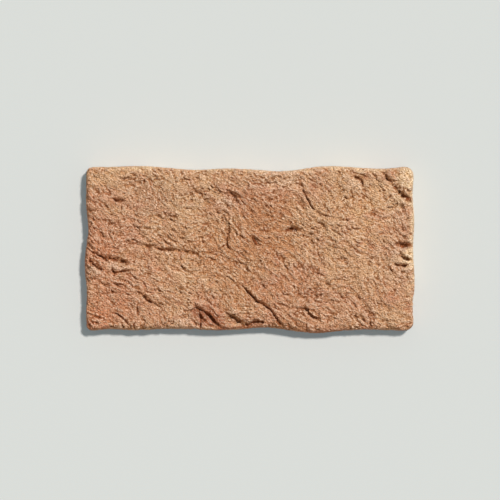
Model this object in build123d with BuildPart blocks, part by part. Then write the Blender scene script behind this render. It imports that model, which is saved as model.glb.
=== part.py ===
from build123d import *
import os
from math import cos, exp, pi, radians, sin

os.makedirs("parts", exist_ok=True)

# The fired brick, lying on its bed with the creased face up, in millimetres
LENGTH = 200.0
WIDTH = 100.0
THICKNESS = 20.0

# The face lies this much below its highest lumps, which were pressed level
FACE_SINK = 0.8
FACE_LEVEL = THICKNESS - FACE_SINK

# The walls draw in by this much from the bed to the face, so that the clay left its mould
LEAN = 0.5

# Corners seen from above, each worn by its own amount
FAR_LEFT_CORNER = 3.5
FAR_RIGHT_CORNER = 5.0
NEAR_RIGHT_CORNER = 5.0
NEAR_LEFT_CORNER = 3.2

# The worn bed edge, and the round rim of the face in flats: height over the face, and draw in
BED_EDGE = 1.0
RIM = [(-2.6, 0.0), (-1.1, 0.5), (-0.3, 1.4), (2.4, 8.0)]

# Waves of the four walls: a place along the wall, from -1 to 1, and how far it bulges there
FAR_WAVES = [
    (-0.87, 0.0), (-0.61, 0.4), (-0.32, -1.8), (-0.17, -1.0), (0.02, -1.6), (0.24, -2.4),
    (0.38, -0.3), (0.57, 0.3), (0.71, -0.7), (0.9, -0.5),
]
NEAR_WAVES = [
    (-0.9, -0.7), (-0.68, -0.2), (-0.55, -1.0), (-0.3, -0.5), (-0.06, -0.8), (0.12, -1.8),
    (0.26, 0.1), (0.4, 1.5), (0.57, 0.1), (0.75, -0.6), (0.91, -0.1),
]
LEFT_WAVES = [(-0.74, 0.1), (-0.5, -0.2), (-0.36, 0.5), (-0.07, 0.8), (0.23, -1.0), (0.5, 0.0)]
RIGHT_WAVES = [(-0.8, -0.4), (-0.5, 0.5), (-0.2, 0.2), (0.0, -0.3), (0.36, 0.4), (0.72, -0.5)]


# Places on the face, measured in from the side that each crease belongs to
def left(distance):
    return -LENGTH / 2 + distance


def right(distance):
    return LENGTH / 2 - distance


def far(distance):
    return WIDTH / 2 - distance


def near(distance):
    return -WIDTH / 2 + distance


# Single swells and sags of the face: centre x and y, height and reach
SWELLS = [
    (right(12), far(8), 0.9, 16),
    (right(22), far(24), -0.5, 16),
    (left(8), -9, 0.7, 14),
    (left(22), -9, -0.7, 14),
    (left(40), 1, -0.6, 16),
    (left(24), 28, -0.5, 15),
    (-42, near(8), 0.7, 14),
    (-24, near(14), -0.6, 14),
    (-13, 30, 0.5, 14),
    (6, 6, -0.7, 18),
    (12, near(16), 0.5, 14),
    (38, near(9), 0.8, 14),
    (42, far(22), 0.5, 16),
    (70, -8, 0.4, 22),
]
# Lumps all over the face, from waves that cross: period, heading in degrees, height and phase
RIPPLES = [
    (44.0, 20, 0.30, 0.4),
    (33.0, 75, 0.28, 2.1),
    (27.0, -40, 0.28, 4.0),
    (24.0, 35, 0.22, 1.3),
    (19.0, -75, 0.16, 3.3),
]

# The sheet that shapes the face: its points along and across, and how far it overhangs the walls
FACE_GRID = (33, 17)
MARGIN = 4.0

# Creases where folds of the clot closed on each other: route, width and depth
CREASES = [
    # The two folds that hold the tongue at the left end, and the hollow beyond them
    ([(left(0.5), 0.5), (left(6.5), -3.4), (left(11), -6), (left(15), -10)], 2.2, 2.4),
    ([(left(2), -4.5), (left(3), -8.5), (left(7), -12), (left(11), -13.6)], 2.8, 2.4),
    ([(left(11), -6), (left(18.5), -7), (left(26.5), -9.8)], 4.2, 1.8),
    ([(left(15.2), -11.5), (left(16.4), -14.8), (left(23), -14), (left(31), -12.6)], 2.0, 1.8),
    # The stepped fold that climbs from the lower left
    ([(left(29), -26.5), (left(34), -28.2), (left(36.8), -31.6), (left(41.5), -33.3),
      (left(44.8), -36.2), (left(49.5), -35.2)], 2.6, 2.2),
    ([(left(14.5), near(11.4)), (left(19.5), near(9.8)), (left(23), near(7)),
      (left(26), near(3.4)), (left(29), near(0.5))], 2.2, 2.0),
    # The star of folds near the middle of the near side
    ([(-34.2, near(17.6)), (-32.6, near(14)), (-27.5, near(11.1)), (-22.5, near(6.6)),
      (-17, near(0))], 3.2, 3.0),
    ([(-39.5, near(12)), (-35.5, near(12.4)), (-31.5, near(13.4))], 2.2, 1.8),
    ([(-31.6, near(13.6)), (-30.3, near(9)), (-30.1, near(0))], 2.0, 2.0),
    # The fold that runs into the notch, and the notch itself
    ([(-15, near(11.4)), (-11, near(8.8)), (-6.5, near(5.2)), (-2, near(1))], 2.2, 2.2),
    ([(-4.5, near(1.2)), (-0.5, near(3.6)), (3.5, near(5.4)), (9.5, near(5))], 3.6, 3.4),
    # The long slanting fold
    ([(-7, near(29.5)), (-1, near(23.5)), (4.5, near(17.8)), (9.5, near(15)),
      (14.2, near(11)), (16.2, near(6)), (19, near(0))], 2.8, 2.6),
    # The ledge over the bulge of the near side
    ([(29, near(13.7)), (33.8, near(13.2)), (36.4, near(10.4)), (39.2, near(7.6)),
      (44.2, near(8.6))], 2.8, 2.2),
    # The crease at the middle and the hole beside it
    ([(-12.4, 16), (-13.6, 10), (-14.1, 3), (-10.6, -2)], 2.0, 2.2),
    ([(2.2, 7.6), (4.2, 4.8), (5.6, 1.6)], 2.2, 2.4),
    ([(22.6, 11), (25.8, 11.3), (29.4, 11.6)], 2.2, 1.9),
    # The ring on the lit side of the small dome
    ([(-20.2, 30.4), (-16, 32.8), (-12, 34.2), (-9.2, 31), (-7, 26.4)], 2.2, 1.7),
    # The curved crease that comes down from the far side
    ([(30.6, far(2.5)), (31.3, far(11)), (34.4, far(19)), (39.6, far(26.6)),
      (45.5, far(29.8)), (55, far(31.2))], 1.8, 1.7),
    # The lifted flake and the ledge of the raised corner
    ([(right(38.2), far(5.4)), (right(34), far(7.3)), (right(31.9), far(9.2)),
      (right(31.4), far(12.4))], 2.0, 2.0),
    ([(right(23), far(1.5)), (right(18.4), far(4.5)), (right(15.4), far(8.4)),
      (right(9.5), far(8.8))], 2.4, 2.0),
    ([(right(13.2), far(10)), (right(11.4), far(13.6)), (right(10.8), far(17.4))], 2.6, 1.6),
    ([(right(10), far(14.8)), (right(5.6), far(18.8)), (right(0), far(20.6))], 4.0, 2.2),
    # Scars across the right edge
    ([(right(12.5), 2.4), (right(7), 1.6), (right(0), 2.4)], 4.6, 2.0),
    ([(right(9.5), -4.4), (right(5), -5.6), (right(0), -8.4)], 3.0, 2.0),
    ([(right(12.5), -8.8), (right(7.6), -10.6), (right(3), -9.8)], 2.6, 2.2),
    # Drag marks in the left half
    ([(-70.5, 2.6), (-61, 1.1), (-54, -0.9), (-45, -1.3), (-33, -2.6)], 4.2, 1.5),
    ([(-71.6, 14.6), (-68.6, 9.4), (-64, 5.2)], 3.4, 1.3),
    ([(left(14), 30.2), (left(20), 29.3), (left(25), 29.8)], 3.6, 1.5),
    ([(left(1), 24.6), (left(3.6), 23.2), (left(6.6), 24)], 3.2, 1.4),
]

# How far a crease's cutter reaches out of the clay, and how slender its two ends are
CUTTER_RISE = 2.5
CREASE_END = 0.3


def face_height(x, y):
    height = FACE_LEVEL
    for swell_x, swell_y, rise, reach in SWELLS:
        distance_squared = (x - swell_x) ** 2 + (y - swell_y) ** 2
        height += rise * exp(-distance_squared / reach**2)
    for period, heading, rise, phase in RIPPLES:
        distance = x * cos(radians(heading)) + y * sin(radians(heading))
        height += rise * sin(2 * pi * distance / period + phase)
    return min(height, THICKNESS)


def draw_outline(inset):
    """The wavy outline with its worn corners, clockwise from the far left one, drawn in by inset."""
    end = LENGTH / 2 - inset
    side = WIDTH / 2 - inset
    far_wall = [(end * at, side + out) for at, out in FAR_WAVES]
    right_wall = [(end + out, side * at) for at, out in reversed(RIGHT_WAVES)]
    near_wall = [(end * at, -side - out) for at, out in reversed(NEAR_WAVES)]
    left_wall = [(-end - out, side * at) for at, out in LEFT_WAVES]
    walls = [
        ((-end + FAR_LEFT_CORNER, side), far_wall, (end - FAR_RIGHT_CORNER, side)),
        ((end, side - FAR_RIGHT_CORNER), right_wall, (end, -side + NEAR_RIGHT_CORNER)),
        ((end - NEAR_RIGHT_CORNER, -side), near_wall, (-end + NEAR_LEFT_CORNER, -side)),
        ((-end, -side + NEAR_LEFT_CORNER), left_wall, (-end, side - FAR_LEFT_CORNER)),
    ]
    headings = [(1, 0), (0, -1), (-1, 0), (0, 1)]
    corners = [FAR_RIGHT_CORNER, NEAR_RIGHT_CORNER, NEAR_LEFT_CORNER, FAR_LEFT_CORNER]
    for (start, waves, stop), heading, corner in zip(walls, headings, corners):
        Spline(start, *waves, stop, tangents=[heading, heading])
        JernArc(stop, heading, corner, -90)


def face_surface():
    """The struck face as one wavy sheet, a little wider than the brick."""
    columns, rows = FACE_GRID
    sheet = []
    for row in range(rows):
        y = (WIDTH + 2 * MARGIN) * (row / (rows - 1) - 0.5)
        line = []
        for column in range(columns):
            x = (LENGTH + 2 * MARGIN) * (column / (columns - 1) - 0.5)
            line.append((x, y, face_height(x, y)))
        sheet.append(line)
    return Face.make_surface_from_array_of_points(sheet, tol=0.05)


def crease_sections(route, width, depth):
    """Sections of a slender wedge along the route, deepest in its middle and closing at both ends."""
    path = Spline(*[(x, y, face_height(x, y)) for x, y in route], mode=Mode.PRIVATE)
    steps = len(route) + 1
    sections = []
    for step in range(steps + 1):
        share = step / steps
        swell = max(sin(pi * share) ** 0.6, CREASE_END)
        half = width / 2 * swell
        along = path % share
        across = Vector(0, 0, 1).cross(along)
        with BuildSketch(Plane(path @ share, x_dir=across, z_dir=along), mode=Mode.PRIVATE) as wedge:
            with BuildLine():
                Polyline(
                    (-half, CUTTER_RISE), (-half, 0), (0, -depth * swell),
                    (half, 0), (half, CUTTER_RISE), close=True,
                )
            make_face()
        sections.append(wedge.sketch)
    return sections


with BuildPart() as brick:
    # The clot as the mould left it: a wavy outline that draws in towards the face
    levels = [(0, BED_EDGE), (BED_EDGE, 0)]
    levels += [(FACE_LEVEL + height, LEAN + draw_in) for height, draw_in in RIM]
    for height, inset in levels:
        with BuildSketch(Plane.XY.offset(height)):
            with BuildLine():
                draw_outline(inset)
            make_face()
    loft(ruled=True)

    # The face, struck by hand and never quite level: all the clay above it is taken off
    extrude(face_surface(), amount=2 * MARGIN, dir=(0, 0, 1), mode=Mode.SUBTRACT)

    # The creases, all cut at once
    wedges = [
        loft(crease_sections(route, width, depth), ruled=True, mode=Mode.PRIVATE)
        for route, width, depth in CREASES
    ]
    add(wedges, mode=Mode.SUBTRACT)

brick.part.label = "brick"
export_step(brick.part, "parts/brick.step")
print("brick", len(brick.solids()), "solid", round(brick.part.volume), "mm3")
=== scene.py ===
# %% [markdown]
# # A hand-moulded clay brick
#
# The brick is one lump of soft clay that was thrown into a sanded mould, pressed flat, turned
# out and fired. Its size, its wavy sides, its worn edges and its main folds come ready made as
# a solid. What is left to do here is what a potter's hands and a kiln leave on it: torn and
# pitted skin, small creases and a colour that drifts from buff to red.

import math

import bmesh
import bpy
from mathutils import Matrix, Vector


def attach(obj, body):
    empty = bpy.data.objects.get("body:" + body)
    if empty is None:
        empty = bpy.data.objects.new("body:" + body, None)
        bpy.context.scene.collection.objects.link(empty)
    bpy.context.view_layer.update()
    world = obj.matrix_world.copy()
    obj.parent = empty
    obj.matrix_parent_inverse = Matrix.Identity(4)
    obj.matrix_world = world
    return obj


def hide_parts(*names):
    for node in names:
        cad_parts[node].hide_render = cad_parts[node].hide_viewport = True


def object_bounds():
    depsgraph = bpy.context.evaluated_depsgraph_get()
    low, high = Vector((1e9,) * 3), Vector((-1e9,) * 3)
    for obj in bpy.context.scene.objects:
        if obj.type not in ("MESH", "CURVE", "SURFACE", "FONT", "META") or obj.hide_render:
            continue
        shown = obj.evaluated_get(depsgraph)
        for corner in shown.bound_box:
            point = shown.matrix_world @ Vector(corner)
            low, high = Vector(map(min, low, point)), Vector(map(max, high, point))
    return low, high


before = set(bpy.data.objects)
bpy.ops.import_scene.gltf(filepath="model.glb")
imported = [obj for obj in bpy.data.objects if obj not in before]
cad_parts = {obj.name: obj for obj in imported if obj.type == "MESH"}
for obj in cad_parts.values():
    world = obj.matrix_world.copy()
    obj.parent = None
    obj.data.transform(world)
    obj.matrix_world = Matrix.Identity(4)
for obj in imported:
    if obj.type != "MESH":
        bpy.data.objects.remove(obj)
cad_box = [list(corner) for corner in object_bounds()]
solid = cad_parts["brick"]
MM = 0.001
length, width, thickness = (high - low for low, high in zip(*cad_box))
print(f"the solid is {length / MM:.1f} x {width / MM:.1f} x {thickness / MM:.1f} mm")

# %% [markdown]
# ## A bench for node trees
#
# The skin and the colour are both made by node trees. Written link by link a tree is long and
# hard to read, so `Wire` stands for one socket and lets Python's own arithmetic add the Math
# nodes, and `Bench.node` adds every other kind: its settings first, then its sockets.

# %% Wires
class Wire:
    """One socket of a tree. Arithmetic on it adds Math nodes."""

    def __init__(self, bench, socket):
        self.bench = bench
        self.socket = socket

    def maths(self, operation, *values):
        return self.bench.node("ShaderNodeMath", {"operation": operation}, dict(enumerate(values)))

    def __add__(self, other):
        return self.maths("ADD", self, other)

    def __sub__(self, other):
        return self.maths("SUBTRACT", self, other)

    def __rsub__(self, other):
        return self.maths("SUBTRACT", other, self)

    def __mul__(self, other):
        return self.maths("MULTIPLY", self, other)

    def __truediv__(self, other):
        return self.maths("DIVIDE", self, other)

    def __rtruediv__(self, other):
        return self.maths("DIVIDE", other, self)

    def __abs__(self):
        return self.maths("ABSOLUTE", self)

    __radd__ = __add__
    __rmul__ = __mul__

    def least(self, floor):
        return self.maths("MAXIMUM", self, floor)

    def most(self, ceiling):
        return self.maths("MINIMUM", self, ceiling)


# %% [markdown]
# A node's sockets are found by their place in the list or by name. Some nodes, such as Mix,
# have several sockets of one name, so the identifier, which is never given twice, is tried too.

# %% Benches
def pick(sockets, key):
    """A socket by its place, its name or its identifier."""
    if isinstance(key, int):
        return sockets[key]
    return next(socket for socket in sockets if key in (socket.name, socket.identifier))


class Bench:
    """A node tree being built."""

    def __init__(self, tree):
        self.tree = tree

    def node(self, kind, settings=None, sockets=None, out=0):
        made = self.tree.nodes.new(kind)
        for name, value in (settings or {}).items():
            setattr(made, name, value)
        for key, value in (sockets or {}).items():
            socket = pick(made.inputs, key)
            if isinstance(value, Wire):
                self.tree.links.new(value.socket, socket)
            else:
                socket.default_value = value
        return Wire(self, pick(made.outputs, out))

    def again(self, wire, out):
        """Another output of the node that a wire comes from."""
        return Wire(self, pick(wire.socket.node.outputs, out))

    def vector(self, operation, *values, out=0):
        sockets = dict(enumerate(values))
        return self.node("ShaderNodeVectorMath", {"operation": operation}, sockets, out)

    def scaled(self, vector, factor):
        sockets = {"Vector": vector, "Scale": factor}
        return self.node("ShaderNodeVectorMath", {"operation": "SCALE"}, sockets)

    def noise(self, place, period, detail=0.0, roughness=0.5, out=0):
        """Smooth noise about zero, in lumps one period wide, with the place in millimetres."""
        sockets = {"Vector": place, "Scale": 1 / period, "Detail": detail, "Roughness": roughness}
        made = self.node("ShaderNodeTexNoise", {"noise_dimensions": "3D"}, sockets, out)
        return made if out else made - 0.5

    def ramp(self, value, start, end, low=0.0, high=1.0):
        """Eases from low to high while value goes from start to end."""
        sockets = {"Value": value, "From Min": start, "From Max": end, "To Min": low, "To Max": high}
        return self.node("ShaderNodeMapRange", {"interpolation_type": "SMOOTHSTEP"}, sockets)

    def tell(self, made):
        """Says what the tree has just been given."""
        print(f"{made}: {len(self.tree.nodes)} nodes so far")


# %% [markdown]
# ## Settling a modifier into a mesh
#
# A modifier stays live until its result is copied out. Each piece here is finished by copying
# the evaluated mesh into a plain one and dropping the modifiers, so that nothing is worked out
# again when the piece is posed or exported.

# %% Make pieces and settle them
def new_piece(name, data):
    """An object that holds a mesh, a lamp or a camera, put into the scene."""
    piece = bpy.data.objects.new(name, data)
    bpy.context.scene.collection.objects.link(piece)
    return piece


def settle(piece):
    """Copies what the modifiers make into a plain mesh, and drops them."""
    evaluated = piece.evaluated_get(bpy.context.evaluated_depsgraph_get())
    mesh = bpy.data.meshes.new_from_object(evaluated)
    piece.modifiers.clear()
    piece.data = mesh


def triangles(piece):
    return sum(len(face.vertices) - 2 for face in piece.data.polygons)


# %% [markdown]
# ## Blank clay
#
# A solid from CAD is a few thousand long triangles. They hold its shape but leave no room for
# a torn skin. Subdividing them would give slivers, so a copy of the solid is wrapped in small
# even faces instead. The Remesh modifier does that: its voxel size is about the width of a
# coarse sand grain. Its stair steps are then smoothed away.

# %% Wrap the solid in small faces
VOXEL = 0.42 * MM
SAME_POINT = 0.002 * MM
SMOOTH_ROUNDS = 12

brick = new_piece("moulded_brick", solid.data.copy())
weld = brick.modifiers.new("weld", "WELD")
weld.merge_threshold = SAME_POINT
wrap = brick.modifiers.new("wrap", "REMESH")
wrap.mode = "VOXEL"
wrap.voxel_size = VOXEL
melt = brick.modifiers.new("melt", "SMOOTH")
melt.iterations = SMOOTH_ROUNDS
settle(brick)
brick.data.materials.clear()
print("blank clay:", triangles(brick), "triangles")

# %% [markdown]
# ## Folds
#
# Where the clot folded over itself the clay closed along a line and left a crease. The widest
# of those are cut in the solid already, and here each gets a crisp bottom. No rule says where
# clay folds, so the folds are drawn as routes. A route is written as its half width, its
# depth and then its points, x and y in turn, all in millimetres from the middle of the brick.

# %% Folds: half width, depth, route
FOLDS = [
    (0.9, 1.2, -99.5, 0.5, -93.5, -3.4, -89, -6, -85, -10),
    (1.0, 1.2, -98, -4.5, -97, -8.5, -93, -12, -89, -13.6),
    (3.0, 1.6, -90, -5.4, -85, -6.2, -79, -7.6, -74, -9.6),
    (0.9, 1.4, -84.8, -10.5, -83.4, -14, -83, -17.4),
    (0.7, 1.2, -83.6, -14.8, -77, -13.8, -69, -12.8),
    (1.1, 1.5, -85, -19.8, -80, -22.6, -76.5, -24.6),
    (1.6, 1.1, -69.5, -26.2, -65.5, -28, -62, -31.5, -57.2, -35.2, -53.7, -36.3, -51, -35.4),
    (1.2, 1.5, -65.5, -20.5, -64.2, -24.6, -60, -27.6),
    (0.8, 1.1, -85.5, -38.6, -80.5, -40.2, -77, -43, -74, -46.6, -71, -49.5),
    (0.9, 1.4, -68.2, -33, -68.7, -37.5, -67.8, -42.4),
    (1.1, 1.0, -34.2, -32.4, -32.6, -36, -27.5, -38.9, -22.5, -43.4, -17, -50),
    (0.8, 1.0, -39.5, -38, -35.5, -37.6, -31.5, -36.6),
    (0.8, 1.2, -31.6, -36.4, -30.3, -41, -30.1, -50),
    (0.9, 1.0, -15, -38.6, -11, -41.2, -6.5, -44.8, -2, -49),
    (1.3, 1.2, -4.5, -48.8, -0.5, -46.4, 3.5, -44.6, 9.5, -45),
    (0.8, 1.0, -7, -20.5, -1, -26.5, 4.5, -32.2),
    (1.0, 0.8, 4.5, -32.2, 9.5, -35, 14.2, -39, 16.2, -44, 19, -50),
    (0.9, 0.7, 29, -36.3, 33.8, -36.8, 36.4, -39.6, 39.2, -42.4, 44.2, -41.4),
    (0.7, 1.2, 39.4, -15.7, 42.8, -15.7, 46, -16.6),
    (0.6, 0.8, 34, -25.8, 38.4, -24.3, 41, -26, 45, -26.4),
    (0.8, 1.0, -12.4, 16, -13.6, 10, -14.1, 3, -10.6, -2),
    (0.8, 1.0, -18.8, 12.6, -16.2, 8.4, -14, 3.6),
    (1.4, 2.0, 0.8, 7.6, 2.6, 4.8, 4.4, 1.8),
    (1.4, 2.0, 21, 11.2, 24, 11.4, 27.4, 11.6),
    (0.9, 1.0, -20.2, 30.4, -16, 32.8, -12, 34.2, -9.2, 31, -7, 26.4),
    (0.5, 0.7, 30.6, 47.5, 31.3, 39, 34.4, 31, 39.6, 23.4, 45.5, 20.2, 55, 18.8),
    (0.7, 1.1, 54.6, 17.6, 58, 17.6, 61.6, 17.8),
    (0.9, 1.5, 61.8, 44.6, 66, 42.7, 68.1, 40.8, 68.6, 37.6),
    (0.7, 1.0, 57.4, 31.6, 60, 30.3, 64.6, 32.8),
    (0.9, 1.3, 77, 48.5, 81.6, 45.5, 84.6, 41.6, 90.5, 41.2),
    (1.3, 1.6, 85.5, 40.6, 88, 37.6, 90, 34.6),
    (2.2, 1.6, 89, 36, 94, 32.2, 100, 28.6),
    (2.4, 1.6, 88, 2.6, 93, 1.8, 100, 2.2),
    (1.1, 1.1, 90.5, -4.4, 95, -5.6, 100, -8.4),
    (1.1, 1.5, 87.5, -8.8, 92.4, -10.6, 97, -9.8),
    (0.7, 0.9, 86, 12.6, 90.5, 10.2, 95.5, 5),
    (1.6, 0.6, -70.5, 2.6, -61, 1.1, -54, -0.9, -45, -1.3, -33, -2.6),
    (1.2, 0.6, -71.6, 14.6, -68.6, 9.4, -64, 5.2),
    (1.4, 0.8, -86, 30.2, -80, 29.3, -75, 29.8),
    (1.2, 0.8, -99, 24.6, -96.4, 23.2, -93.4, 24),
]
print(len(FOLDS), "folds")

# %% [markdown]
# ## Small marks
#
# Nicks and short cracks lie beside the folds, where grit was dragged along or a crumb of clay
# fell out. They are drawn in the same way, part by part of the face. Noise could scatter them,
# but it is these marks that the eye knows a certain brick by.

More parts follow.
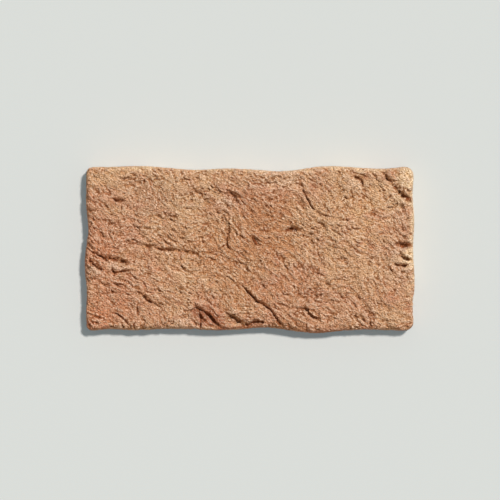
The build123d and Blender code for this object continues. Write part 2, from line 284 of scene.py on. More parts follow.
# %% Small marks: half width, depth, route
MARKS = [
    # Far left quarter
    (0.6, 0.8, -92, 28, -90.3, 25.4, -87.3, 26.3), (0.7, 1.2, -95.8, 19.2, -95.5, 17.2),
    (0.6, 1.0, -97.3, 16, -96.8, 15), (0.5, 0.8, -96, 13, -93, 11.8, -90, 11.6),
    (0.6, 0.9, -86.3, 10.3, -85, 7, -83.3, 3.6), (0.5, 0.8, -75.2, 28.7, -73.2, 28, -71.2, 27.5),
    (0.6, 0.9, -71.3, 21.2, -69.3, 20, -68.2, 16.8, -66.9, 14.6), (0.9, 1.0, -69.5, 13.4, -67.5, 12.2),
    (0.6, 1.2, -66.6, 49, -65.2, 47.8), (0.6, 1.1, -60.2, 49.2, -58.8, 47.4, -57.4, 46.5),
    (1.2, 1.2, -82.5, 29.3, -77, 29), (0.7, 0.8, -59, 42.3, -54, 42.2, -52, 43),
    (0.8, 1.0, -52.3, 21.8, -51, 19.2), (0.7, 0.9, -48.8, 17.8, -47.6, 17.2),
    (0.6, 0.8, -46.8, 16.3, -46, 15.9), (0.5, 0.7, -63, 30.8, -60.3, 30),
    (0.5, 0.8, -73.5, 1.7, -72.3, 0.2), (0.5, 0.8, -74.8, 13.8, -74.8, 12),
    (1.0, 0.9, -98.5, 24, -96.5, 22),
    # Far side, left of the middle
    (0.5, 0.8, -41, 44, -39, 42.5, -35.8, 41.9), (0.5, 0.8, -46, 40.2, -44.3, 40.6),
    (0.5, 1.0, -33.8, 45.8, -32.3, 46.2, -30, 46.3), (0.5, 0.8, -30, 37, -28, 36.2),
    (0.6, 0.9, -24.3, 38.6, -22.8, 37.5), (0.5, 0.8, -11.8, 43.4, -11, 42.8),
    (0.6, 0.8, -5.8, 42.8, -5, 42.4), (0.5, 0.7, -38.8, 24.3, -37, 24.6),
    (0.6, 0.8, -39.5, 16.2, -38.4, 15.3), (0.5, 0.8, -31.3, 10.8, -30.8, 10),
    (0.7, 1.0, -29, 4.8, -28.5, 3), (0.5, 0.8, -27.5, 23.3, -27, 22.4),
    (0.5, 0.9, -24.5, 21.6, -23.6, 20.4), (0.5, 0.9, -11.6, 13.6, -10, 12),
    (0.5, 0.8, -20, 26.3, -17.7, 27.4, -16, 26.6),
    # Far side, right of the middle
    (0.6, 0.9, 6.5, 42.8, 8.2, 43), (0.6, 1.0, 7.6, 38.6, 8.5, 37.7),
    (0.5, 0.9, 9.3, 40.8, 11, 40.5, 12.6, 38.9), (0.5, 0.9, 20, 42.5, 21.5, 42.3),
    (0.5, 0.8, 19.6, 38, 20.8, 37.2), (0.6, 0.8, 1, 30.8, 2.8, 30, 4.2, 28.5),
    (0.6, 1.0, 15, 32.6, 16.2, 31.4, 16.6, 29.2), (0.6, 0.9, 12.4, 26.5, 13, 25.4),
    (0.6, 0.8, 11.8, 22.4, 13.8, 21), (0.7, 1.0, 12.9, 19.6, 14, 19),
    (0.7, 1.1, 24.4, 16.4, 25.6, 15.6), (0.6, 0.9, 27, 9.8, 28.8, 8),
    (0.7, 1.1, 37, 11.8, 39, 11.8), (0.6, 0.8, 37, 19.6, 40, 18),
    (1.1, 0.9, 40.5, 15.8, 43.5, 15, 45, 13.6, 46, 11.2), (0.6, 0.9, 8, 13.3, 8.8, 12),
    (0.6, 0.9, 10.8, 7.2, 12, 6.2), (0.5, 0.7, 8.6, 3.3, 12.8, 3),
    (0.6, 0.9, 32.8, 2.8, 34, 1.8), (0.5, 0.8, 40.6, 5.8, 42.5, 5, 44, 4.2),
    (0.6, 0.8, 42, 42.8, 42.5, 42),
    # Far right quarter
    (0.5, 0.8, 50, 35.3, 52, 34.6, 53.4, 33), (0.6, 0.8, 55.6, 28.4, 57.2, 29.6),
    (0.5, 1.0, 59.4, 26.4, 60.6, 24.4, 62.2, 23.2), (0.6, 0.8, 66.5, 29.7, 67.8, 29.6),
    (0.9, 1.0, 66.2, 35.8, 66.4, 35.6), (0.5, 0.7, 75.5, 26.7, 79.5, 26),
    (0.4, 0.6, 81, 26.2, 82.5, 25, 89, 25), (0.6, 0.8, 80.6, 36, 82, 35.7),
    (0.5, 0.7, 61.5, 48, 63, 46.5, 66, 45.7, 70, 45.3), (0.5, 0.8, 88, 30.4, 87.6, 28),
    (0.6, 0.8, 70.5, 47, 72, 47.3, 75, 45.5, 76, 44.3), (0.5, 0.8, 90, 36, 94.5, 34.8),
    (0.6, 0.8, 85.5, 34.5, 89, 34.5), (0.5, 0.9, 96, 40, 97.5, 39.6, 99.3, 38.8),
    (0.5, 0.9, 60.2, 15, 62.4, 13.4, 63.8, 12.2, 66.5, 12, 67.6, 13.5),
    (0.6, 0.8, 63, 6.2, 64, 5.8), (0.6, 0.9, 66.3, 3.8, 67.5, 3),
    (0.6, 0.9, 80.5, 5, 82, 3.6), (0.5, 0.7, 82.5, 9.6, 87, 8.6),
    (0.9, 1.2, 97, 9, 98.8, 8.8), (0.5, 1.0, 99.8, 7, 99.6, 5.2),
    (0.6, 0.8, 52, 5, 52.6, 2.6), (1.8, 1.0, 95, 30, 98.5, 29.5),
    # Near left quarter
    (0.6, 0.8, -72.5, -8.3, -70.8, -8.2, -69, -9.8), (0.8, 0.7, -75.8, -15, -74.5, -16.5),
    (0.6, 0.7, -71.5, -16.5, -69.8, -18.2, -68.6, -19), (0.5, 0.7, -84.5, -16.3, -84, -18, -82.7, -19.3),
    (0.9, 0.8, -91.5, -20.3, -88.6, -22, -87.8, -24), (0.5, 0.8, -96, -23.6, -93.5, -24),
    (0.5, 1.0, -98.5, -24.8, -96.5, -25.2), (0.5, 0.7, -85, -25, -83.6, -27, -82.3, -28.5),
    (0.7, 0.9, -93.7, -33, -93, -32.6), (0.6, 1.0, -60.3, -6.8, -59.7, -6.5),
    (0.6, 0.8, -55.4, -25.3, -54.6, -26.2), (0.6, 1.0, -51.7, -15, -51, -14.7),
    (0.5, 0.9, -76.8, -26.3, -75, -27.6, -72.5, -28.2, -70.3, -27.6),
    (0.6, 0.7, -67.7, -33.3, -67.4, -36.5), (0.5, 0.9, -89.3, -42, -88.8, -43.2, -90.4, -44.6),
    (0.8, 1.4, -98.5, -46.3, -97.6, -47.8), (0.6, 1.2, -78.3, -46, -77.2, -47.8, -76.3, -49.3),
    (0.5, 0.8, -75.3, -46.8, -73, -49), (0.7, 1.3, -70.2, -44.8, -71, -46.5, -70.3, -48.8),
    # Near side, left of the middle
    (0.7, 1.2, -41.6, -10.2, -41.2, -11), (1.0, 0.7, -33.5, -1.5, -31, -4.5),
    (0.6, 0.9, -20.8, -3.6, -20, -5), (0.6, 1.0, -19.3, -6, -18.6, -7.2),
    (0.8, 0.7, -17, -2, -15.5, -3.5), (0.7, 1.3, -18.5, 0, -16.5, 1.6, -14.5, 2),
    (0.4, 0.7, -7.6, -6.6, -5, -9.8), (0.6, 0.8, -4, -13, -2.6, -14.2, -1, -15.6),
    (0.5, 0.8, -14.8, -16.6, -12.5, -18, -9.6, -19.6), (1.0, 0.8, -8.9, -22.4, -7.6, -23, -6.3, -24.8),
    (0.7, 1.1, -12.2, -26.6, -11.4, -27), (0.6, 1.0, -39.3, -26.6, -37.6, -27, -35.4, -28.2),
    (0.7, 1.0, -24.8, -32.6, -23.4, -34, -21.8, -35.4), (0.4, 0.6, -46.5, -38.2, -43.5, -37, -39, -37.4),
    (0.9, 0.6, -33.5, -41, -32.3, -43.3), (0.6, 0.9, -3, -34.5, -1.5, -35),
    (1.4, 1.4, -3, -46, -1, -47.5),
    # Near side, right of the middle
    (0.6, 0.9, 0.3, -9.5, 1, -11.6, 3, -13.4), (0.7, 1.0, 16.2, -1.6, 16.6, -4.2, 17.9, -7),
    (0.6, 1.0, 31.5, -5.5, 34, -8.8), (0.5, 0.8, 28.3, -3.6, 31, -4.6),
    (0.7, 0.8, 20.5, -9.5, 22, -11.2, 23.2, -12.8), (0.9, 1.0, 41.2, -2.5, 42.2, -4.3, 43.5, -4.3),
    (0.6, 0.8, 47, -8.8, 49, -11), (0.6, 1.2, 46, -21.4, 48.3, -22.1),
    (0.6, 0.9, 8.3, -22.4, 9.6, -24.6), (0.6, 0.9, 20.5, -23.4, 21.5, -24.4),
    (0.6, 1.0, 12.4, -28, 13.6, -29), (0.4, 0.7, 21, -29.5, 23, -33, 24.5, -36.2),
    (0.6, 0.8, 20.2, -36.2, 21.2, -39.2), (0.7, 0.9, 33.4, -33.8, 34, -34.4),
    (0.5, 1.0, 45.7, -35.3, 48.2, -37), (0.4, 0.7, 41.4, -36.5, 44.5, -40, 47.5, -42.6, 49.5, -44.5),
    (0.5, 0.7, 34, -46, 38, -48.2, 41.5, -49.6), (0.4, 0.6, 27, -45.5, 30.5, -48.5),
    (2.8, 1.6, 15.4, -42, 17, -44.6, 18.6, -47), (1.4, 0.8, 41.5, -2.5, 44, -4.5),
    # Near right quarter
    (0.5, 0.8, 81, -2.5, 82.5, -5, 83.5, -7.3), (0.6, 0.8, 85, -4.6, 86, -4.8),
    (0.6, 0.8, 51.5, -12, 53, -14.4), (0.6, 0.9, 85.6, -12.3, 87, -14.2),
    (0.5, 0.7, 95.3, -17, 97.7, -19.7), (0.5, 0.7, 52, -22.6, 54.6, -24.3),
    (0.7, 0.8, 62, -25.5, 63.4, -26), (0.5, 0.8, 75.6, -21, 77.8, -22.5),
    (0.9, 0.9, 87.6, -25, 88.8, -26.6), (0.6, 0.6, 54.6, -27.6, 56, -30, 58, -32.2),
    (0.4, 0.7, 62, -33.2, 63, -34.8), (0.6, 0.7, 60, -35.4, 63, -37.4),
    (0.6, 1.1, 68.8, -42.4, 70.4, -44.6, 71.9, -46.7), (0.5, 0.9, 72, -40.3, 73.3, -43, 73.8, -45),
    (0.6, 1.1, 73.3, -46, 74, -48.2), (0.6, 0.8, 81.4, -39, 82, -41),
    (0.6, 1.2, 99, -35.5, 99.3, -36.8), (1.6, 1.0, 93, -6, 98, -7), (1.3, 1.6, 92, -10.5, 95.5, -10.5),
]
print(len(MARKS), "small marks")

# %% [markdown]
# ## Broad dips and welts
#
# Clay sags beside a fold and swells where it was pushed up. Neither has an edge, so both are
# drawn wide and shallow, and a swelling has a depth below zero. Together they are called sweeps
# here. They are what gives the face its light and dark slopes.

# %% Broad dips and welts: half width, depth, route
SWEEPS = [
    (3.0, 0.8, -97, -3, -92, -5.5, -86, -6.5, -79, -7.6, -73, -9.6),
    (2.2, 0.7, -97.5, -5, -94.5, -9, -90, -12.4),
    (2.0, 0.9, -83.6, -13.6, -82, -16.4),
    (2.8, 1.3, -70.5, -24, -66, -27.6, -60.5, -31.6),
    (2.2, 0.9, -70.5, 13.4, -66.5, 10, -62.6, 5.4),
    (2.0, 0.7, -67.5, 1.8, -60, 1.4, -53, -1, -46, -1.2, -39, -2.4, -31, -3.6),
    (2.0, 0.6, -51.5, 22, -48, 19.4, -44, 16.8),
    (2.2, 1.0, -59, 44, -56.6, 43),
    (2.4, 0.6, -83.5, 30, -76.5, 29.2),
    (3.2, 1.0, -35, -35.6, -31, -36.6, -26.5, -38.4, -21.5, -43.6, -17, -49),
    (2.0, 0.7, -29.6, -38, -29.2, -47.5),
    (2.4, 0.6, -12.5, -41, -7, -44.6, -2, -47.6, 3, -46.4, 8, -44.6),
    (1.8, 0.6, -8.6, -21.6, -3, -26, 3, -30.4, 8.4, -33.4, 13.4, -38.8, 17, -44.8, 20.5, -47),
    (2.6, 0.7, 27.5, -36.8, 34, -37.6, 38, -40.4, 42, -43),
    (1.8, 0.9, 71.6, -36.5, 72.6, -41, 73.4, -46.6),
    (2.2, 1.0, 43.4, 15, 46, 11),
    (2.0, 0.9, 22.4, 16, 25.6, 15),
    (2.4, 0.6, 22, 10.6, 26.5, 10.2),
    (2.0, 0.7, 1.2, 8, 4.8, 2.4),
    (1.8, 0.5, 39.6, 22.6, 45, 20.4, 52, 18.6, 60, 17.4),
    (2.2, 0.9, 61.6, 44.8, 66, 42.8, 69.6, 39),
    (3.0, 0.9, 79.5, 47.5, 84, 43, 88.6, 37.8, 94, 32, 99, 28.4),
    (3.0, 1.1, 88.6, 2.6, 98.6, 2.2),
    (1.6, 0.6, 92.6, -4.6, 99, -7.4),
    (2.0, 0.6, 91, -10.4, 95.5, -10.6),
    (1.8, 0.8, 17.4, -3.4, 20, -7.4, 23, -11.8),
    (1.8, 0.9, 44.6, -20.6, 48.6, -22.2),
    (1.8, 0.9, 84, -28.6, 88.6, -25.6),
    (2.0, 0.8, 86.5, 12.5, 90.5, 10.5),
    (2.0, 0.6, -18.6, -1.6, -16.4, -6.4),
    (2.2, 0.7, -16.4, 33.6, -12.6, 34.4, -9.6, 31.4, -8.2, 27.4),
    (1.8, 0.6, -14.8, 12, -13.4, 6, -14, 1.4),
    (1.8, 0.5, -31, 9.4, -28.4, 3),
    (2.4, -1.0, -88, -10.4, -82, -11, -75.6, -12.6),
    (3.0, -1.1, -97.5, -11, -94, -14, -89.5, -16),
    (1.8, -0.6, -46, -41, -40, -39.5, -36, -39.8),
    (3.0, -0.9, -45, -44.6, -37.5, -45.4),
    (2.4, -0.9, -17.5, -34.4, -12, -37, -6, -40.6, -1.5, -43),
    (2.0, -0.6, 4.6, -36, 9, -39, 12, -42.6),
    (2.4, -1.0, 30, -42.6, 34.6, -46, 40, -47.4),
    (2.4, -0.5, 36.6, -34, 41.6, -35.4, 44, -39),
    (2.0, -0.6, 76, -44, 78.6, -48),
    (1.8, -0.5, -60, -33.6, -52, -37.6),
    (1.3, -0.8, -81, -36.5, -77.5, -38.2),
    (2.4, -1.0, -16, 29.5, -13, 29, -10.8, 26.6),
    (1.4, -1.0, 93, -4.2, 98.5, -4.6),
    (1.8, -0.5, -38, 35.6, -32, 34),
    (1.6, -0.4, -24, 37.4, -19, 35.6),
    (1.3, -0.9, 92, -13.4, 98, -12.8),
    (1.7, -0.9, 92.5, 27.5, 97.5, 22.5),
    (1.6, -0.7, 62.5, 39.5, 65.5, 37.6, 65, 34.5),
    (1.3, -0.7, -3, -22, 2, -27, 6, -31.5),
    (1.3, -0.7, 36, -38.4, 40, -40.6),
    (1.4, -0.7, -60, -0.4, -52, -2.6, -46, -3.4),
]
print(len(SWEEPS), "broad dips and welts")

# %% [markdown]
# ## Routes become lines
#
# A route of a few points is turned into a smooth line of short steps with the Catmull-Rom rule,
# which passes through every point given.

# %% Smooth a route
STEP = 0.4


def smooth_route(points):
    """Points a short step apart on a smooth line through the given ones."""
    padded = [points[0], *points, points[-1]]
    route = []
    for a, b, c, d in zip(padded, padded[1:], padded[2:], padded[3:]):
        steps = max(2, round(math.dist(b, c) / STEP))
        for n in range(steps):
            t = n / steps
            weights = (
                2 * t**2 - t - t**3,
                2 - 5 * t**2 + 3 * t**3,
                t + 4 * t**2 - 3 * t**3,
                t**3 - t**2,
            )
            route.append([sum(w * p[k] for w, p in zip(weights, (a, b, c, d))) / 2 for k in (0, 1)])
    return route + [points[-1]]


# %% [markdown]
# The lines are a mesh of bare edges at the level of the face. Each of its points carries how
# wide and how deep the clay is cut there. Both taper to the ends, as a crease runs out, and
# every line has a soft rim. The folds are cut to seven tenths of the depth written, because
# the solid has cut the widest of them already.

# %% Draw the routes as lines that carry their width and depth
END_SHARE = 0.4
SOFT_RIM = 0.15
CREASE_SHARE = 0.7


def draw_routes(name, lines):
    places, edges, reaches, depths = [], [], [], []
    for half_width, depth, *numbers in lines:
        route = smooth_route(list(zip(numbers[::2], numbers[1::2])))
        first = len(places)
        for n, (x, y) in enumerate(route):
            taper = math.sin(math.pi * (n + 0.5) / len(route)) ** 0.5
            places.append((x * MM, y * MM, thickness))
            reaches.append(half_width * (END_SHARE + (1 - END_SHARE) * taper) + SOFT_RIM)
            depths.append(depth * taper)
        edges += [(first + n, first + n + 1) for n in range(len(route) - 1)]
    mesh = bpy.data.meshes.new(name)
    mesh.from_pydata(places, edges, [])
    for label, values in (("reach", reaches), ("depth", depths)):
        mesh.attributes.new(label, "FLOAT", "POINT").data.foreach_set("value", values)
    print(name, "has", len(places), "points")
    return new_piece(name, mesh)


creases = [(half_width, depth * CREASE_SHARE, *route) for half_width, depth, *route in FOLDS]
fold_lines = draw_routes("fold_lines", creases + MARKS)
sweep_lines = draw_routes("sweep_lines", SWEEPS)

# %% [markdown]
# ## The torn skin
#
# A clot of clay slides and tears as it is thrown into the mould, so the face of the brick is
# covered in flakes, streaks and scales that point much the same way. They could be sculpted by
# hand, which takes days, or faked with a picture, which looks flat from the side. Here a
# Geometry Nodes tree adds them up as heights: each layer is a noise, and in the end every point
# of the blank moves in or out along its own normal by the sum of the layers.
#
# The strength of each layer is an input of the tree, so that each can be turned up by itself.
# Wander and Bend are how many millimetres the grain may stray from a straight line, from one
# extreme to the other, and Rise is how much clay is laid on before the face is pressed flat.

# %% Start the tree and name its inputs
SKIN = {
    "Wander": 2.4,
    "Bend": 16.0,
    "Lumps": 1.2,
    "Scales": 0.7,
    "Seams": 0.7,
    "Streaks": 2.1,
    "Pits": 1.1,
    "Rise": 0.08,
}

tree = bpy.data.node_groups.new("clay_skin", "GeometryNodeTree")
for name, kind in (("Clay", "Geometry"), ("Fold lines", "Object"), ("Sweep lines", "Object")):
    tree.interface.new_socket(name, in_out="INPUT", socket_type="NodeSocket" + kind)
for name, strength in SKIN.items():
    entry = tree.interface.new_socket(name, in_out="INPUT", socket_type="NodeSocketFloat")
    entry.default_value = strength
tree.interface.new_socket("Skin", in_out="OUTPUT", socket_type="NodeSocketGeometry")

skin = Bench(tree)
inlet = tree.nodes.new("NodeGroupInput")
given = {socket.name: Wire(skin, socket) for socket in inlet.outputs if socket.name}
print("the skin is given:", ", ".join(given))

# %% [markdown]
# ### Where a point is, and which way it looks
#
# A noise is asked for at a place, and every place here is in millimetres. The height of the
# normal tells the faces apart: the upper face gets the whole skin, the four sides a little less,
# and the bed, which lay flat while the clay dried, next to none.

# %% Place and direction
place = skin.scaled(skin.node("GeometryNodeInputPosition"), 1 / MM)
normal = skin.node("GeometryNodeInputNormal")
facing = skin.node("ShaderNodeSeparateXYZ", None, {0: normal}, out=2)
upper = skin.ramp(facing, 0.2, 0.9)
under = skin.ramp(facing, -0.9, -0.5, 1.0, 0.0)
skin.tell("place and direction")

# %% [markdown]
# ### Nothing runs true
#
# If the layers read the plain place, their grain would run as straight as planed wood. Two
# noises push the place about first: a quick one, like the tremble of a hand, and a slow one that
# bends the whole grain. Then the place is turned, so that its first axis lies the way the clay
# slid. A noise that reads a place squeezed along that axis comes out drawn out along it.

# %% Wander, bend and turn the place
HALF = (0.5, 0.5, 0.5)
SLIDE = math.radians(34)

drift = skin.vector("SUBTRACT", skin.noise(place, 9, 2, 0.5, out=1), HALF)
bend = skin.vector("SUBTRACT", skin.noise(place, 30, out=1), HALF)
adrift = skin.vector("ADD", place, skin.scaled(drift, given["Wander"]))
adrift = skin.vector("ADD", adrift, skin.scaled(bend, given["Bend"]))
turned = skin.node("ShaderNodeVectorRotate", {"rotation_type": "Z_AXIS"},
                   {"Vector": adrift, "Angle": SLIDE})
skin.tell("wander and bend")

# %% [markdown]
# ### Lumps
#
# Torn clay is rough at every size. Four noises, from broad to fine, are added up, and each is
# drawn out along the slide. They are looked up in places far apart, so that their peaks do not
# fall together. A fifth noise makes some patches rougher than others.

# %% Lumps: width in millimetres, height, how many times longer than wide
LUMPS = [
    (7.0, 1.8, 1.3),
    (3.4, 1.5, 1.6),
    (1.9, 1.3, 1.8),
    (1.1, 1.1, 1.6),
]

lumps = 0.0
for n, (period, height, drawn) in enumerate(LUMPS):
    elsewhere = (31.0 * n, 17.0 * n, 7.0 * n)
    stretched = skin.vector("MULTIPLY_ADD", turned, (1 / drawn, 1.0, 1.0), elsewhere)
    lumps = skin.noise(stretched, period) * height + lumps
lumps = lumps * given["Lumps"]
rough = skin.ramp(skin.noise(place, 9, 2, 0.6), -0.13, 0.13, 0.4, 1.5)
skin.tell("lumps")

# %% [markdown]
# ### Streaks and short cracks
#
# A streak is a noise that is drawn out nearly three times along the slide. A crack is where such
# a noise crosses zero: its absolute value makes a sharp valley there. Cracks all over would look
# like dried mud, so another noise lets only short pieces of them through.

# %% Streaks and cracks
SQUEEZE = 0.36

combed = skin.vector("MULTIPLY", turned, (SQUEEZE, 1.0, 1.0))
streaks = skin.noise(combed, 2.4, 2, 0.5)
crossing = abs(skin.noise(skin.vector("ADD", combed, (50.0, 0.0, 0.0)), 2.8, 2, 0.5))
seams = skin.ramp(crossing, 0.0, 0.05, 1.0, 0.0)
short = skin.ramp(skin.noise(place, 2.2, 1, 0.5), 0.02, 0.12)
skin.tell("streaks and cracks")

# %% [markdown]
# ### Pits
#
# Grit and bits of straw burn out in the kiln and leave small round holes. A Voronoi texture
# gives one round cell per grain, and the colour of a cell is random, so it can choose which
# cells become a pit.

# %% Pits: spacing in millimetres, depth
PITS = [
    (3.4, 1.0),
    (6.0, 0.8),
]

pits = 0.0
for spacing, depth in PITS:
    cell = skin.node("ShaderNodeTexVoronoi", {"feature": "F1"},
                     {"Vector": adrift, "Scale": 1 / spacing, "Randomness": 1.0})
    chance = skin.node("FunctionNodeSeparateColor", None, {0: skin.again(cell, "Color")})
    pits = skin.ramp(cell, 0.05, 0.26, depth, 0.0) * skin.ramp(chance, 0.7, 0.85) + pits
skin.tell("pits")

# %% [markdown]
# ### Scales
#
# Thin folds of clay lie over one another, and each climbs slowly and ends in a step. The
# fraction of a rising noise does just that: it climbs from 0 to 1 and falls back at once. The
# fall is eased over the last stretch, because a mesh can't hold an upright step.

# %% Scales, and where they lie
TIERS = 3.4

climbing = skin.noise(skin.vector("ADD", adrift, (80.0, 0.0, 0.0)), 8, 3, 0.5) * TIERS
climb = climbing.maths("FRACT", climbing)
scales = climb * skin.ramp(climb, 0.82, 1.0, 1.0, 0.0) - 0.4
laid = skin.ramp(skin.noise(place, 6.5, 1, 0.5), -0.06, 0.12)
skin.tell("scales")

# %% [markdown]
# ### The layers together
#
# The layers are added, and then the highest of them are eased down to one level with a smooth
# minimum, because the highest clay was pressed and struck flat in the mould.

# %% Add the layers and press the highest flat
PRESSED_AT = 0.6
PRESSED_EASE = 0.45

relief = (
    lumps * rough
    + scales * laid * given["Scales"]
    - seams * short * given["Seams"]
    + streaks * given["Streaks"]
    - pits * given["Pits"]
)
relief = relief.maths("SMOOTH_MIN", relief + given["Rise"], PRESSED_AT, PRESSED_EASE)
skin.tell("layers")

# %% [markdown]
# ### Folds and sweeps
#
# Each point asks how far the nearest drawn line is, measured in that line's own half width, and
# how deep it cuts. The place is shaken a little before it asks, so that the edge of a fold is
# ragged and not as clean as a drawn line.

# %% Ask the nearest line
ragged = skin.vector("SUBTRACT", skin.noise(place, 1.8, 1, 0.5, out=1), HALF)


def carried_by(lines, index, label):
    """What a line's point, given by its number, carries under a label."""
    named = skin.node("GeometryNodeInputNamedAttribute", {"data_type": "FLOAT"}, {"Name": label})
    return skin.node("GeometryNodeSampleIndex", {"data_type": "FLOAT"},
                     {"Geometry": lines, "Value": named, "Index": index})


def lie_of(drawing, wander, tremble):
    """How many half widths away the nearest line of a drawing is, and how deep it cuts."""
    lines = skin.node("GeometryNodeObjectInfo", {"transform_space": "RELATIVE"},
                      {"Object": drawing}, out="Geometry")
    shaken = skin.vector("ADD", place, skin.scaled(drift, wander))
    shaken = skin.vector("ADD", shaken, skin.scaled(ragged, tremble))
    flat = skin.vector("MULTIPLY_ADD", shaken, (MM, MM, 0.0), (0.0, 0.0, thickness))
    near = skin.node("GeometryNodeProximity", {"target_element": "EDGES"},
                     {0: lines, "Sample Position": flat}, out="Distance")
    index = skin.node("GeometryNodeSampleNearest", {"domain": "POINT"},
                      {"Geometry": lines, "Sample Position": flat})
    return near / MM / carried_by(lines, index, "reach"), carried_by(lines, index, "depth")


# %% [markdown]
# A fold is a cleft with a low lip on both sides, where the clay was pushed up. Its depth
# changes along its length, because clay does not close evenly. A sweep is only a smooth dip or
# swelling. Both are cut into the upper face alone.

# %% Cut the folds and the sweeps
LIP = 0.22

away, depth = lie_of(given["Fold lines"], wander=1.4, tremble=1.2)
depth = depth * skin.ramp(skin.noise(place, 3.6, 1, 0.5), -0.12, 0.08, 0.6, 1.2)
cleft = skin.ramp(away, 0.0, 1.0, 1.0, 0.0)
lip = skin.ramp(away, 0.6, 1.3) * skin.ramp(away, 1.3, 3.2, 1.0, 0.0)
cut = (lip * LIP - cleft) * depth * upper
sweep_away, swept = lie_of(given["Sweep lines"], wander=2.0, tremble=1.0)
cut = cut - skin.ramp(sweep_away, 0.0, 1.3, 1.0, 0.0) * swept * upper
skin.tell("folds and sweeps")

# %% [markdown]
# ### Moving the points
#
# The sides keep six tenths of the skin, and the bed only a trace of its hollows. After the move
# two things are put right: nothing goes below the ground that the brick lies on, and no crumb
# stands much more than half a millimetre above the solid's highest point.

# %% Move every point along its normal
SIDES_KEEP = 0.6
BED_KEEPS = 0.3
HEADROOM = 0.5 * MM
HEADROOM_EASE = 0.4 * MM

relief = relief * (SIDES_KEEP + (1 - SIDES_KEEP) * upper) + cut
relief = relief * (1 - under) + relief.most(0.0) * BED_KEEPS * under
moved = skin.node("GeometryNodeSetPosition", None,
                  {"Geometry": given["Clay"], "Offset": skin.scaled(normal, relief * MM)})
parts = skin.node("ShaderNodeSeparateXYZ", None, {0: skin.node("GeometryNodeInputPosition")})
rise = skin.again(parts, 2).least(0.0)
rise = rise.maths("SMOOTH_MIN", rise, thickness + HEADROOM, HEADROOM_EASE)
level = skin.node("ShaderNodeCombineXYZ", None, {0: parts, 1: skin.again(parts, 1), 2: rise})
rested = skin.node("GeometryNodeSetPosition", None, {"Geometry": moved, "Position": level})
skin.tell("the move")

# %% [markdown]
# ### What the colour will need to know
#
# Fire and dust colour the hollows and the ridges differently, and painted shade darkens the
# hollows and the folds. How sunk a point is shows in its height beside the mean of its
# neighbours: a few rounds of blur give the mean close by, many rounds the mean further out. The
# values are stored on the mesh, where the material reads them.

# %% Store the relief on the mesh
CLOSE_BY = 6
FURTHER_OUT = 60


def store(geometry, label, value):
    """The geometry with a value kept on its points under a label."""
    return skin.node("GeometryNodeStoreNamedAttribute", {"data_type": "FLOAT", "domain": "POINT"},
                     {"Geometry": geometry, "Name": label, "Value": value})


kept = store(rested, "relief", relief)
made = skin.node("GeometryNodeInputNamedAttribute", {"data_type": "FLOAT"}, {"Name": "relief"})
for label, rounds in (("hollow", CLOSE_BY), ("sunk", FURTHER_OUT)):
    mean = skin.node("GeometryNodeBlurAttribute", {"data_type": "FLOAT"},
                     {"Value": made, "Iterations": rounds})
    kept = store(kept, label, mean - made)
kept = store(kept, "fold", cleft * depth)
skin.tell("stored values")

# %% [markdown]
# A tree can hand on instances, which an export may drop, so it ends by making everything real
# and by giving it the material, which is still empty here and gets its nodes further down.

# %% End the tree
clay = bpy.data.materials.new("fired_clay")
clay.use_nodes = True

real = skin.node("GeometryNodeRealizeInstances", None, {"Geometry": kept})
finished = skin.node("GeometryNodeSetMaterial", None, {"Geometry": real, "Material": clay})
outlet = tree.nodes.new("NodeGroupOutput")
tree.links.new(finished.socket, outlet.inputs[0])
skin.tell("the whole skin")

# %% [markdown]
# ## Running the tree
#
# The drawn lines are handed to the modifier by the identifier of its input, because its name is
# only a label, and before the brick is worked out for the first time. Once the skin is a plain
# mesh the lines have done their work and are taken away.

# %% Tear the blank
tearing = brick.modifiers.new("skin", "NODES")
tearing.node_group = tree
drawings = {"Fold lines": fold_lines, "Sweep lines": sweep_lines}
for entry in tree.interface.items_tree:
    if entry.name in drawings:
        tearing[entry.identifier] = drawings[entry.name]
settle(brick)
for drawing in drawings.values():
    bpy.data.objects.remove(drawing)
print("torn skin:", triangles(brick), "triangles")

# %% [markdown]
# A look at the finished relief tells whether the strengths above are right: half of the points
# should move by a tenth of a millimetre at most, and nine in ten by about half a millimetre,
# because the skin roughens the solid and must not swell it.

# %% Measure the relief
SHARES = (0, 0.05, 0.25, 0.5, 0.75, 0.95, 1)

levels = [0.0] * len(brick.data.vertices)
brick.data.attributes["relief"].data.foreach_get("value", levels)
levels.sort()
for share in SHARES:
    level = levels[int(share * (len(levels) - 1))]
    print(f"{share:.0%} of the points are moved by {level:.2f} mm or less")

# %% [markdown]
# ## Thinning the mesh
#
# The bed and the smooth patches do not need faces as small as the torn ones. A coarser voxel
# would blunt the folds too, so the Decimate modifier is used: it takes points away where the
# surface bends least, until the piece is light enough to share. It may pinch off a closed crumb
# of a few faces in a deep fold, and such crumbs are taken out. A point of the bed that it pushes
# under the ground is lifted back.

# %% Thin the mesh where it is flat
MOST_TRIANGLES = 195_000


def keep_largest_island(mesh):
    """Takes out every loose crumb beside the largest island, and says how many points went."""
    work = bmesh.new()
    work.from_mesh(mesh)
    left = set(work.verts)
    islands = []
    while left:
        island = [left.pop()]
        for vert in island:
            for edge in vert.link_edges:
                other = edge.other_vert(vert)
                if other in left:
                    left.remove(other)
                    island.append(other)
        islands.append(island)
    islands.sort(key=len)
    crumbs = [vert for island in islands[:-1] for vert in island]
    bmesh.ops.delete(work, geom=crumbs, context="VERTS")
    work.to_mesh(mesh)
    work.free()
    return len(crumbs)


thin = brick.modifiers.new("thin", "DECIMATE")
thin.ratio = MOST_TRIANGLES / triangles(brick)
settle(brick)
brick.data.validate()
print(keep_largest_island(brick.data), "points of loose crumbs taken out")
for point in brick.data.vertices:
    point.co.z = max(point.co.z, 0.0)
brick.data.shade_smooth()
print("finished skin:", triangles(brick), "triangles")

# %% [markdown]
# ## Fired clay
#
# The colour of a clay brick comes from its iron, and from how much air and heat reached it in
# the kiln. These change from place to place in a stack, so one brick has several colours. The
# colours are written as they look on a screen, because that is how they are picked by eye, and
# turned into the light values that a shader works with.

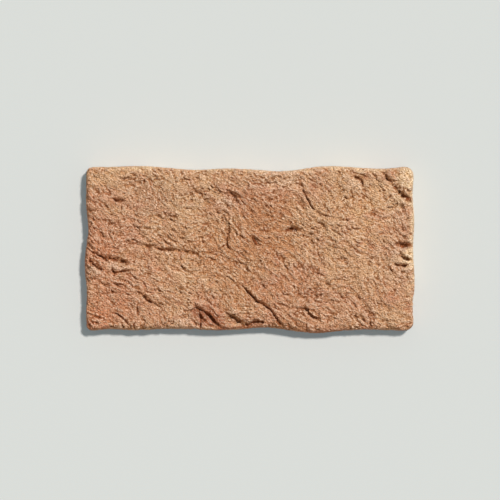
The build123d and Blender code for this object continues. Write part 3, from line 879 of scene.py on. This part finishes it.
# %% The colours of the clay
def srgb(red, green, blue):
    """A colour given as it looks on screen, 0 to 255, as the light values a shader needs."""
    shares = [value / 255 for value in (red, green, blue)]
    return [s / 12.92 if s <= 0.04045 else ((s + 0.055) / 1.055) ** 2.4 for s in shares] + [1.0]


BUFF = srgb(196, 154, 118)
SALMON = srgb(184, 133, 103)
OCHRE = srgb(198, 146, 98)
CREAM = srgb(218, 186, 158)
SAND_AND_HIGHLIGHT = srgb(228, 198, 160)
GREY_BUFF = srgb(184, 152, 120)
WARM = srgb(178, 124, 86)
TERRACOTTA = srgb(186, 116, 80)
BRICK_RED = srgb(168, 104, 78)
BROWN = srgb(150, 94, 62)
BURNT_AND_SHADE = srgb(120, 68, 32)
FOLD_SHADE = srgb(124, 62, 28)
print("buff as light values:", [round(value, 3) for value in BUFF])

# %% [markdown]
# ### Mixing colours
#
# `shade` lays one colour over another, as a glaze is brushed on: the factor says how much of it
# stays at each point. `read` fetches a value that the skin stored on the mesh.

# %% Two helpers for the material
paint = Bench(clay.node_tree)


def shade(colour, other, factor, blend="MIX"):
    """Lays another colour over a colour, as much as the factor says."""
    settings = {"data_type": "RGBA", "blend_type": blend}
    sockets = {"Factor_Float": factor, "A_Color": colour, "B_Color": other}
    return paint.node("ShaderNodeMix", settings, sockets, "Result_Color")


def read(name):
    """A value that the skin's tree stored on the mesh."""
    return paint.node("ShaderNodeAttribute", {"attribute_name": name}, out="Fac")


# %% [markdown]
# ### Broad colour
#
# Buff and salmon drift into each other over the whole brick. On top come clouds of colour with
# a place of their own, where this brick is redder, paler or browner. Some clouds are painted
# light instead: brown ones are painted shade in notches, folds and under a lump, pale ones are
# painted highlights on welts and bumps, the near and left sides, which face away from the light,
# are painted darker red, and the far and right sides, which face it, are painted paler. Each is
# a soft oval that reaches deep into the clay, so that it runs down over the sides. A painted
# picture could hold them too, but it would have to be unwrapped over a torn skin.

# %% Clouds: middle, reach along and across in millimetres, colour, strength
COLOUR_AND_LIGHT_CLOUDS = [
    (-86, -36, 26, 18, SALMON, 0.6),
    (-94, -42, 11, 9, TERRACOTTA, 0.85),
    (-96, -46, 8, 6, BRICK_RED, 0.5),
    (-95, 8, 9, 9, TERRACOTTA, 0.6),
    # Painted shade: the near side and the left side face away from the light and are painted darker red.
    (0, -54, 140, 6, BRICK_RED, 0.9),
    (-105, 0, 6, 70, BRICK_RED, 0.9),
    (-92, 0, 16, 16, SALMON, 0.6),
    (-62, -22, 30, 14, SALMON, 0.5),
    (-24, -42, 20, 10, BRICK_RED, 0.8),
    # Painted shade in a fold.
    (-30, -38, 7, 6, BURNT_AND_SHADE, 0.4),
    (8, 14, 20, 26, WARM, 0.65),
    (66, -12, 34, 22, BUFF, 0.8),
    (22, 26, 14, 14, WARM, 0.4),
    (40, 12, 20, 26, BUFF, 0.6),
    (-68, -36, 30, 16, SALMON, 0.5),
    (-50, 0, 30, 20, SALMON, 0.3),
    (27, -26, 15, 12, WARM, 0.5),
    (72, 30, 22, 14, OCHRE, 0.4),
    (66, 12, 20, 11, SAND_AND_HIGHLIGHT, 0.3),
    (72, 12, 18, 12, OCHRE, 0.3),
    # Painted highlight along the right edge, which faces the light.
    (92, 6, 12, 40, CREAM, 0.35),
    (0, 44, 110, 9, BUFF, 0.6),
    # Painted highlight: the far side, the right side and the far right corner face the light and are
    # painted paler.
    (0, 51, 120, 5, SAND_AND_HIGHLIGHT, 0.5),
    (101, 10, 6, 60, SAND_AND_HIGHLIGHT, 0.8),
    (95, 44, 9, 7, SAND_AND_HIGHLIGHT, 0.5),
    (84, 34, 22, 18, SAND_AND_HIGHLIGHT, 0.25),
    # Painted highlight on a welt at the right edge.
    (98, -4, 8, 5, SAND_AND_HIGHLIGHT, 0.5),
    (88, -42, 16, 12, BUFF, 0.8),
    (-6, 2, 40, 26, WARM, 0.55),
    (-22, -8, 20, 14, WARM, 0.55),
    (-4, -26, 18, 15, WARM, 0.5),
    (26, 10, 13, 12, WARM, 0.5),
    (22, -48, 18, 6, WARM, 0.8),
    (25, -45, 12, 7, BROWN, 0.3),
    (18, 44, 22, 11, CREAM, 0.35),
    (-93, 27, 9, 9, BROWN, 0.2),
    (-8, -26, 14, 10, WARM, 0.35),
    (93, -26, 10, 9, WARM, 0.35),
    (91, 10, 11, 8, WARM, 0.5),
    (-98, 26, 9, 16, SALMON, 0.8),
    (-92, -4, 20, 13, TERRACOTTA, 0.4),
    (-88, -30, 24, 16, TERRACOTTA, 0.3),
    (-66, -8, 14, 10, SALMON, 0.5),
    # Painted highlight on a bump.
    (-14, 28, 8, 6, CREAM, 0.5),
    # Painted shade in two notches of the right edge, in deep folds, under an overhanging lump and in a
    # dark nick.
    (94.5, 2.2, 6, 2.6, BROWN, 0.9),
    (4, 4.4, 2.6, 3.6, BURNT_AND_SHADE, 0.5),
    (24.6, 11.8, 3, 2.4, BURNT_AND_SHADE, 0.45),
    (97, 30.4, 4, 2, BROWN, 0.8),
    (-80, -7, 6, 2, BROWN, 0.5),
    (-4, -47.5, 4, 1.6, BROWN, 0.8),
    # Painted highlights on a boss, two welts and a bump that face the light.
    (-41, -45, 9, 4, CREAM, 0.45),
    (-82, -10, 8, 4, CREAM, 0.4),
    (-96, -13, 6, 5, CREAM, 0.4),
    (64, 38, 10, 6, CREAM, 0.35),
    (50, -40, 40, 12, BUFF, 0.3),
    (-55, 30, 30, 14, GREY_BUFF, 0.35),
]
print(len(COLOUR_AND_LIGHT_CLOUDS), "clouds of colour")

# %% [markdown]
# The distance to the middle of a cloud is measured in its own reach, and a noise is added to it,
# which frays the edge. A cloud begins just past its reach and is full near its middle.

# %% Lay the broad colours
FACE_LEVEL = 20.0
CLOUD_DEPTH = 3
FRAY = 2.4
CLOUD_EDGE = 1.15
CLOUD_HEART = 0.25

place = paint.scaled(paint.node("ShaderNodeTexCoord", out="Object"), 1 / MM)
broad = paint.noise(place, 38, 3, 0.6)
colour = shade(BUFF, SALMON, paint.ramp(broad, -0.08, 0.1))
fray = paint.noise(place, 9, 4, 0.65)
for x, y, along, across, tint, strength in COLOUR_AND_LIGHT_CLOUDS:
    offset = paint.vector("SUBTRACT", place, (x, y, FACE_LEVEL))
    shrunk = paint.vector("DIVIDE", offset, (along, across, CLOUD_DEPTH * max(along, across)))
    distance = paint.vector("LENGTH", shrunk, out=1) + fray * FRAY
    amount = paint.ramp(distance, CLOUD_EDGE, CLOUD_HEART, 0.0, strength)
    colour = shade(colour, tint, amount)
paint.tell("broad colours")

# %% [markdown]
# ### Stains, hollows and folds
#
# Small red stains and pale dustings of mould sand come next. Then the relief takes part: ridges
# are rubbed pale, hollows hold burnt dust and painted shade, and folds are darkened with painted
# shade. Two fine noises, the crumbs, break the dust and the painted shade up. Last the hollows
# are warmed with painted bounce light, as light bounces between their clay walls.

# %% Small stains
stain = paint.noise(place, 5, 3, 0.6)
colour = shade(colour, BRICK_RED, paint.ramp(stain, 0.04, 0.2, 0.0, 0.35))
colour = shade(colour, CREAM, paint.ramp(stain, -0.04, -0.2, 0.0, 0.3))
paint.tell("small stains")

# %% Ridges, hollows and folds
WARMING = (0.98, 0.88, 0.73, 1.0)

hollow = read("hollow")
sunk = read("sunk")
fold = read("fold")
depth = hollow + sunk * 0.3
squashed = paint.vector("MULTIPLY", place, (1.0, 1.2, 1.0))
crumbs = paint.noise(squashed, 1.0) * 1.2 + paint.noise(squashed, 0.6, 1, 0.6) * 0.9
colour = shade(colour, CREAM, paint.ramp(hollow, -0.02, -0.2, 0.0, 0.45))
# Painted shade: hollows are darkened, partly as burnt dust and partly as shade.
colour = shade(colour, BURNT_AND_SHADE, paint.ramp(depth - crumbs * 0.4, 0.06, 0.5, 0.0, 0.6))
# Painted shade: the folds are darkened where shade falls in them.
colour = shade(colour, FOLD_SHADE, paint.ramp(fold, 0.45, 1.3, 0.0, 0.7))
colour = shade(colour, WARMING, paint.ramp(depth, -0.1, 0.3, 0.0, 1.0), "MULTIPLY")
paint.tell("relief in the colour")

# %% [markdown]
# ### Grains
#
# The finest grain is under a millimetre, too small for the mesh. It is a noise that darkens and
# lightens the colour, more in blue than in red, so that dark grains look brown. The crumbs of
# the cell before also drive a Bump node, which tilts the light without adding a face. The clay
# is fired but not glazed, so it is rough and hardly shines.

# %% Grain: for red, green and blue the mean and the spread
GRAIN = [
    (1.09, 1.75),
    (1.125, 2.25),
    (1.15, 2.9),
]

speck = paint.noise(squashed, 0.95, 1, 0.7) + crumbs * 0.12
channels = {n: mean + speck * spread for n, (mean, spread) in enumerate(GRAIN)}
tone = paint.node("ShaderNodeCombineColor", None, channels)
colour = shade(colour, tone, 1.0, "MULTIPLY")
bump = paint.node("ShaderNodeBump", None, {"Strength": 1.0, "Distance": MM, "Height": crumbs})

shader = clay.node_tree.nodes["Principled BSDF"]
clay.node_tree.links.new(colour.socket, shader.inputs["Base Color"])
clay.node_tree.links.new(bump.socket, shader.inputs["Normal"])
shader.inputs["Roughness"].default_value = 0.9
shader.inputs["Specular IOR Level"].default_value = 0.25
paint.tell("the whole colour")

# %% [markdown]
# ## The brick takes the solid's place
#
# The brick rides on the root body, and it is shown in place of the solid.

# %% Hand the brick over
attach(brick, "root")
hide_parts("brick")
print(brick.name, "stands for the solid")

# %% [markdown]
# ## The floor
#
# One large pale square carries the shadow. It is far wider than the picture, so that its edge
# is never in it, and quite matt, so that no lamp mirrors in it.

# %% A pale floor
FLOOR_REACH = 3.0
FLOOR_COLOUR = (0.72, 0.73, 0.69, 1)

corners = [(x * FLOOR_REACH, y * FLOOR_REACH, 0) for x, y in ((-1, -1), (1, -1), (1, 1), (-1, 1))]
floor_mesh = bpy.data.meshes.new("floor")
floor_mesh.from_pydata(corners, [], [(0, 1, 2, 3)])
floor = new_piece("floor", floor_mesh)
paper = bpy.data.materials.new("pale_floor")
paper.use_nodes = True
matt = paper.node_tree.nodes["Principled BSDF"]
matt.inputs["Base Color"].default_value = FLOOR_COLOUR
matt.inputs["Roughness"].default_value = 1.0
matt.inputs["Specular IOR Level"].default_value = 0.0
floor_mesh.materials.append(paper)
print("the floor is", 2 * FLOOR_REACH, "m wide")

# %% [markdown]
# ## The light
#
# One high sun gives the narrow shadow on the floor, but it would leave the torn face dull. So
# the brick has a lower sun of its own that rakes across its relief, and a weak warm one from the
# other side that stands for light bounced off the clay. Light linking decides which sun lights
# which piece. The floor also has a blue sun from straight above, which keeps the shadow cool and
# whose own shadow is hidden under the brick. The world fills in the rest.

# %% Suns: strength, degrees from upright, degrees round, size in degrees, colour, what they light
SUNS = {
    "key": (2.36, 20, 45, 5, (1.0, 0.953, 0.938), floor),
    "sky": (0.459, 0, 0, 5, (0.148, 0.634, 1.0), floor),
    "rake": (3.9, 42, 50, 3, (1.0, 1.0, 1.0), brick),
    "bounce": (0.5, 55, 228, 25, (1.0, 0.7, 0.44), brick),
}
WORLD_COLOUR = (1.05, 0.96, 0.84, 1)
WORLD_STRENGTH = 0.24

for name, (strength, upright, round_about, size, tint, lit) in SUNS.items():
    lamp = bpy.data.lights.new(name, "SUN")
    lamp.energy = strength
    lamp.angle = math.radians(size)
    lamp.color = tint
    holder = new_piece(name, lamp)
    z, a = math.radians(upright), math.radians(round_about)
    towards = Vector((math.sin(z) * math.cos(a), math.sin(z) * math.sin(a), math.cos(z)))
    holder.rotation_euler = towards.to_track_quat("Z", "Y").to_euler()
    group = bpy.data.collections.new("lit_by_" + name)
    group.objects.link(lit)
    holder.light_linking.receiver_collection = group
print(len(SUNS), "suns")

world = bpy.data.worlds.new("soft_room")
world.use_nodes = True
background = world.node_tree.nodes["Background"]
background.inputs["Color"].default_value = WORLD_COLOUR
background.inputs["Strength"].default_value = WORLD_STRENGTH
bpy.context.scene.world = world

# %% [markdown]
# ## The camera
#
# The brick is seen from straight above with almost no perspective, so the camera hangs high
# over it with a very long lens. Its height follows from how wide the picture is at the level of
# the brick's face. An orthographic camera would come close, but a real one has a lens.

# %% A camera high above
LENS = 300.0
SENSOR = 36.0
PICTURE_WIDTH = 0.3046
CAMERA_Y = -0.77 * MM

camera_data = bpy.data.cameras.new("camera")
camera_data.lens = LENS
camera_data.sensor_width = SENSOR
camera = new_piece("camera", camera_data)
camera.location = (0.0, CAMERA_Y, thickness + PICTURE_WIDTH * LENS / SENSOR)
bpy.context.scene.camera = camera
bpy.context.scene.view_settings.view_transform = "Standard"
print(f"the camera hangs {camera.location.z:.2f} m up")
